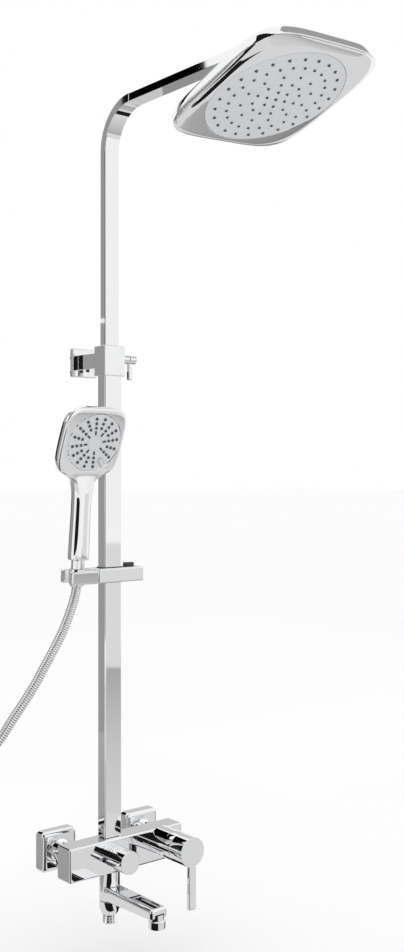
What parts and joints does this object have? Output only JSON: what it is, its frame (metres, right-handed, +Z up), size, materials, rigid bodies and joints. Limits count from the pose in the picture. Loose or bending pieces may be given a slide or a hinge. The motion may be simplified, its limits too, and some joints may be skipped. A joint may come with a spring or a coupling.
{
  "type": "rainfall shower column",
  "caption": "Wall-mounted shower column: bath mixer with lever and diverter, swivel spout, telescopic riser with tilting overhead rain head, sliding hand shower and hose.",
  "frame": {"origin": "midpoint between the two wall inlets, on the finished wall surface", "axes": "+X right along the wall, +Y into the wall, -Y towards the room, +Z up"},
  "size_m": [0.4835, 0.5468, 1.1921],
  "materials": {
    "chrome": "polished",
    "brass": "machined",
    "spray_grey": "satin",
    "dark_plastic": "satin",
    "rubber": "matte",
    "nylon": "matte",
    "steel": "satin"
  },
  "bodies": {
    "mixer": {"wall_flange_left": "chrome", "wall_flange_right": "chrome", "eccentric_union_left": "chrome", "eccentric_union_right": "chrome", "union_nut_left": "chrome", "union_nut_right": "chrome", "union_washer_left": "rubber", "union_washer_right": "rubber", "mixer_body": "chrome", "cartridge_housing": "nylon", "cartridge_retaining_nut": "brass", "handle_sleeve": "chrome", "diverter_cartridge": "brass", "diverter_collar": "chrome", "outlet_stem": "chrome", "hose_outlet": "chrome", "spout_o_ring": "rubber", "lower_column": "chrome", "riser_nipple": "brass", "lock_block": "chrome", "slide_bush": "nylon", "lock_boss": "chrome", "bracket_cover": "chrome", "bracket_base": "steel", "bracket_screw_upper": "steel", "bracket_screw_lower": "steel", "bracket_neck": "chrome", "neck_grub_screw": "dark_plastic"},
    "riser": {"upper_column": "chrome", "arm_end_cap": "chrome", "guide_shoe": "nylon", "ball_stem": "chrome"},
    "lock": {"lock_lever": "chrome", "clamp_screw": "steel"},
    "temperature_carrier": {"handle_carrier": "chrome"},
    "lever": {"lever_handle": "chrome", "cartridge_stem": "steel"},
    "diverter": {"diverter_knob": "chrome", "diverter_spindle": "steel"},
    "spout": {"bath_spout": "chrome", "aerator": "chrome"},
    "head_pitch_seat": {"ball_seat_lower": "nylon"},
    "head_roll_seat": {"ball_seat_upper": "rubber"},
    "rain_head": {"ball_union_nut": "chrome", "head_shell": "chrome", "head_underside": "chrome", "spray_plate": "spray_grey", "nozzle_mat": "rubber"},
    "slider": {"slider_body": "chrome", "slider_liner": "dark_plastic", "tilt_pin": "steel"},
    "release_button": {"release_button": "dark_plastic"},
    "holder": {"hand_holder": "chrome"},
    "hand_shower": {"hand_shell": "chrome", "cone_nut": "chrome", "hand_nozzle_mat": "rubber", "shower_hose": "steel", "hose_coil": "steel", "hose_end_nut": "chrome"},
    "selector": {"spray_selector": "spray_grey"}
  },
  "joints": [
    {"name": "riser_height", "type": "slide", "parent": "mixer", "child": "riser", "axis": [0, 0, 1], "range_m": [-0.2, 0.15]},
    {"name": "lock_turn", "type": "hinge", "parent": "mixer", "child": "lock", "pos_m": [0, -0.072, 0.719], "axis": [1, 0, 0], "range_deg": [0, 90]},
    {"name": "temperature", "type": "hinge", "parent": "mixer", "child": "temperature_carrier", "pos_m": [0.061, -0.0885, 0.003], "axis": [0, -1, 0], "range_deg": [-35, 45]},
    {"name": "flow_lift", "type": "hinge", "parent": "temperature_carrier", "child": "lever", "pos_m": [0.061, -0.1245, 0.003], "axis": [-1, 0, 0], "range_deg": [0, 20]},
    {"name": "diverter_turn", "type": "hinge", "parent": "mixer", "child": "diverter", "pos_m": [-0.021, -0.0885, -0.005], "axis": [0, -1, 0], "range_deg": [-90, 90]},
    {"name": "spout_swing", "type": "hinge", "parent": "mixer", "child": "spout", "pos_m": [-0.021, -0.072, -0.06], "axis": [0, 0, 1], "range_deg": [-80, 6]},
    {"name": "head_pitch", "type": "hinge", "parent": "riser", "child": "head_pitch_seat", "pos_m": [-0.021, -0.402, 1.058], "axis": [1, 0, 0], "range_deg": [-8, 26]},
    {"name": "head_roll", "type": "hinge", "parent": "head_pitch_seat", "child": "head_roll_seat", "pos_m": [-0.021, -0.402, 1.058], "axis": [0, 0.945, -0.327], "range_deg": [-10, 10]},
    {"name": "head_spin", "type": "hinge", "parent": "head_roll_seat", "child": "rain_head", "pos_m": [-0.021, -0.402, 1.058], "axis": [-0.0715, 0.3264, 0.9425], "range_deg": [-90, 90]},
    {"name": "slider_height", "type": "slide", "parent": "mixer", "child": "slider", "axis": [0, 0, 1], "range_m": [-0.25, 0.04]},
    {"name": "button_press", "type": "slide", "parent": "slider", "child": "release_button", "axis": [0, 0, -1], "range_m": [0, 0.003], "stiffness_N_per_m": 900},
    {"name": "holder_tilt", "type": "hinge", "parent": "slider", "child": "holder", "pos_m": [-0.05, -0.072, 0.403], "axis": [1, 0, 0], "range_deg": [0, 20]},
    {"name": "hand_shower_lift", "type": "slide", "parent": "holder", "child": "hand_shower", "axis": [0, -0.0958, 0.9954], "range_m": [0, 0.08]},
    {"name": "spray_select", "type": "hinge", "parent": "hand_shower", "child": "selector", "pos_m": [-0.0776, -0.11562, 0.59309], "axis": [0, -0.9164, -0.4003], "range_deg": [-40, 40]}
  ]
}
